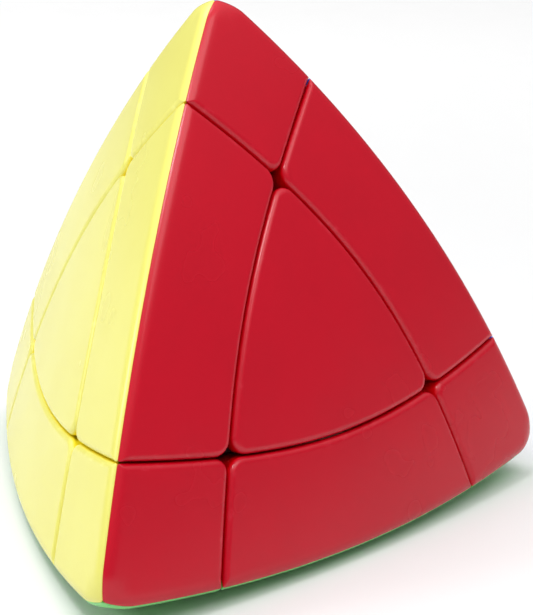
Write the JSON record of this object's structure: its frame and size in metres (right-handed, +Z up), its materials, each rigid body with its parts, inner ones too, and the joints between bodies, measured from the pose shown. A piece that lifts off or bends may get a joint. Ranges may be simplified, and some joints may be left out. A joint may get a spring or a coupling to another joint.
{
  "type": "pyramid twisty puzzle",
  "caption": "Domed tetrahedral twisty puzzle in four colours, with face layers that turn about a sprung core; stands on one face with a tip up.",
  "frame": {"origin": "centre of the flat at the crown of the green face, which the puzzle stands on", "axes": "+Z up through the core and the opposite tip; the red face looks towards -Y, the yellow face towards -X and +Y, the blue face towards +X and +Y"},
  "size_m": [0.0908, 0.0839, 0.0786],
  "materials": {
    "red_plastic": "satin moulded colour",
    "yellow_plastic": "satin moulded colour",
    "green_plastic": "satin moulded colour",
    "blue_plastic": "satin moulded colour",
    "inner_plastic": "moulded, plain; its colour is a guess",
    "core_plastic": "moulded, plain",
    "screw_steel": "zinc plated",
    "spring_steel": "drawn wire"
  },
  "bodies": {
    "core": {"core": "core_plastic", "green_spring": "spring_steel", "green_washer": "screw_steel", "red_spring": "spring_steel", "red_washer": "screw_steel", "yellow_spring": "spring_steel", "yellow_washer": "screw_steel", "blue_spring": "spring_steel", "blue_washer": "screw_steel"},
    "green_screw": {"green_tension_screw": "screw_steel"},
    "green_center": {"green_center_base": "inner_plastic", "green_center_cap": "green_plastic"},
    "red_screw": {"red_tension_screw": "screw_steel"},
    "red_center": {"red_center_base": "inner_plastic", "red_center_cap": "red_plastic"},
    "yellow_screw": {"yellow_tension_screw": "screw_steel"},
    "yellow_center": {"yellow_center_base": "inner_plastic", "yellow_center_cap": "yellow_plastic"},
    "blue_screw": {"blue_tension_screw": "screw_steel"},
    "blue_center": {"blue_center_base": "inner_plastic", "blue_center_cap": "blue_plastic"},
    "red_yellow_edge": {"red_yellow_edge_foot": "inner_plastic", "red_yellow_edge_red_shell": "red_plastic", "red_yellow_edge_yellow_shell": "yellow_plastic"},
    "red_green_edge": {"red_green_edge_foot": "inner_plastic", "red_green_edge_red_shell": "red_plastic", "red_green_edge_green_shell": "green_plastic"},
    "red_blue_edge": {"red_blue_edge_foot": "inner_plastic", "red_blue_edge_red_shell": "red_plastic", "red_blue_edge_blue_shell": "blue_plastic"},
    "yellow_green_edge": {"yellow_green_edge_foot": "inner_plastic", "yellow_green_edge_yellow_shell": "yellow_plastic", "yellow_green_edge_green_shell": "green_plastic"},
    "yellow_blue_edge": {"yellow_blue_edge_foot": "inner_plastic", "yellow_blue_edge_yellow_shell": "yellow_plastic", "yellow_blue_edge_blue_shell": "blue_plastic"},
    "green_blue_edge": {"green_blue_edge_foot": "inner_plastic", "green_blue_edge_green_shell": "green_plastic", "green_blue_edge_blue_shell": "blue_plastic"},
    "red_yellow_blue_corner": {"red_yellow_blue_corner_foot": "inner_plastic", "red_yellow_blue_corner_red_shell": "red_plastic", "red_yellow_blue_corner_yellow_shell": "yellow_plastic", "red_yellow_blue_corner_blue_shell": "blue_plastic"},
    "yellow_green_blue_corner": {"yellow_green_blue_corner_foot": "inner_plastic", "yellow_green_blue_corner_yellow_shell": "yellow_plastic", "yellow_green_blue_corner_green_shell": "green_plastic", "yellow_green_blue_corner_blue_shell": "blue_plastic"},
    "red_green_blue_corner": {"red_green_blue_corner_foot": "inner_plastic", "red_green_blue_corner_red_shell": "red_plastic", "red_green_blue_corner_green_shell": "green_plastic", "red_green_blue_corner_blue_shell": "blue_plastic"},
    "red_yellow_green_corner": {"red_yellow_green_corner_foot": "inner_plastic", "red_yellow_green_corner_red_shell": "red_plastic", "red_yellow_green_corner_yellow_shell": "yellow_plastic", "red_yellow_green_corner_green_shell": "green_plastic"}
  },
  "joints": [
    {"name": "green_face_turn", "type": "hinge", "parent": "core", "child": "green_center", "pos_m": [0, 0, 0.02387], "axis": [0, 0, -1], "range_deg": [0, 120]},
    {"name": "green_screw_adjust", "type": "hinge", "parent": "core", "child": "green_screw", "pos_m": [0, 0, 0.02387], "axis": [0, 0, -1], "range_deg": [-180, 180]},
    {"name": "red_face_turn", "type": "hinge", "parent": "core", "child": "red_center", "pos_m": [0, 0, 0.02387], "axis": [0, -0.9428, 0.3333], "range_deg": [0, 120]},
    {"name": "red_screw_adjust", "type": "hinge", "parent": "core", "child": "red_screw", "pos_m": [0, 0, 0.02387], "axis": [0, -0.9428, 0.3333], "range_deg": [-180, 180]},
    {"name": "yellow_face_turn", "type": "hinge", "parent": "core", "child": "yellow_center", "pos_m": [0, 0, 0.02387], "axis": [-0.8165, 0.4714, 0.3333], "range_deg": [0, 120]},
    {"name": "yellow_screw_adjust", "type": "hinge", "parent": "core", "child": "yellow_screw", "pos_m": [0, 0, 0.02387], "axis": [-0.8165, 0.4714, 0.3333], "range_deg": [-180, 180]},
    {"name": "blue_face_turn", "type": "hinge", "parent": "core", "child": "blue_center", "pos_m": [0, 0, 0.02387], "axis": [0.8165, 0.4714, 0.3333], "range_deg": [0, 120]},
    {"name": "blue_screw_adjust", "type": "hinge", "parent": "core", "child": "blue_screw", "pos_m": [0, 0, 0.02387], "axis": [0.8165, 0.4714, 0.3333], "range_deg": [-180, 180]},
    {"name": "red_yellow_edge_yellow_turn", "type": "hinge", "parent": "red_center", "child": "red_yellow_edge", "pos_m": [0, 0, 0.02387], "axis": [-0.8165, 0.4714, 0.3333], "range_deg": [0, 120]},
    {"name": "red_green_edge_green_turn", "type": "hinge", "parent": "red_center", "child": "red_green_edge", "pos_m": [0, 0, 0.02387], "axis": [0, 0, -1], "range_deg": [0, 120]},
    {"name": "red_blue_edge_blue_turn", "type": "hinge", "parent": "red_center", "child": "red_blue_edge", "pos_m": [0, 0, 0.02387], "axis": [0.8165, 0.4714, 0.3333], "range_deg": [0, 120]},
    {"name": "yellow_green_edge_green_turn", "type": "hinge", "parent": "yellow_center", "child": "yellow_green_edge", "pos_m": [0, 0, 0.02387], "axis": [0, 0, -1], "range_deg": [0, 120]},
    {"name": "yellow_blue_edge_yellow_turn", "type": "hinge", "parent": "blue_center", "child": "yellow_blue_edge", "pos_m": [0, 0, 0.02387], "axis": [-0.8165, 0.4714, 0.3333], "range_deg": [0, 120]},
    {"name": "green_blue_edge_blue_turn", "type": "hinge", "parent": "green_center", "child": "green_blue_edge", "pos_m": [0, 0, 0.02387], "axis": [0.8165, 0.4714, 0.3333], "range_deg": [0, 120]},
    {"name": "red_yellow_blue_corner_yellow_turn", "type": "hinge", "parent": "red_blue_edge", "child": "red_yellow_blue_corner", "pos_m": [0, 0, 0.02387], "axis": [-0.8165, 0.4714, 0.3333], "range_deg": [0, 120]},
    {"name": "yellow_green_blue_corner_blue_turn", "type": "hinge", "parent": "yellow_green_edge", "child": "yellow_green_blue_corner", "pos_m": [0, 0, 0.02387], "axis": [0.8165, 0.4714, 0.3333], "range_deg": [0, 120]},
    {"name": "red_green_blue_corner_blue_turn", "type": "hinge", "parent": "red_green_edge", "child": "red_green_blue_corner", "pos_m": [0, 0, 0.02387], "axis": [0.8165, 0.4714, 0.3333], "range_deg": [0, 120]},
    {"name": "red_yellow_green_corner_green_turn", "type": "hinge", "parent": "red_yellow_edge", "child": "red_yellow_green_corner", "pos_m": [0, 0, 0.02387], "axis": [0, 0, -1], "range_deg": [0, 120]}
  ],
  "couplings": [
    {"joint": "red_yellow_edge_yellow_turn", "follows": "yellow_face_turn", "ratio": 1},
    {"joint": "red_green_edge_green_turn", "follows": "green_face_turn", "ratio": 1},
    {"joint": "red_blue_edge_blue_turn", "follows": "blue_face_turn", "ratio": 1},
    {"joint": "yellow_green_edge_green_turn", "follows": "green_face_turn", "ratio": 1},
    {"joint": "yellow_blue_edge_yellow_turn", "follows": "yellow_face_turn", "ratio": 1},
    {"joint": "green_blue_edge_blue_turn", "follows": "blue_face_turn", "ratio": 1},
    {"joint": "red_yellow_blue_corner_yellow_turn", "follows": "yellow_face_turn", "ratio": 1},
    {"joint": "yellow_green_blue_corner_blue_turn", "follows": "blue_face_turn", "ratio": 1},
    {"joint": "red_green_blue_corner_blue_turn", "follows": "blue_face_turn", "ratio": 1},
    {"joint": "red_yellow_green_corner_green_turn", "follows": "green_face_turn", "ratio": 1}
  ]
}
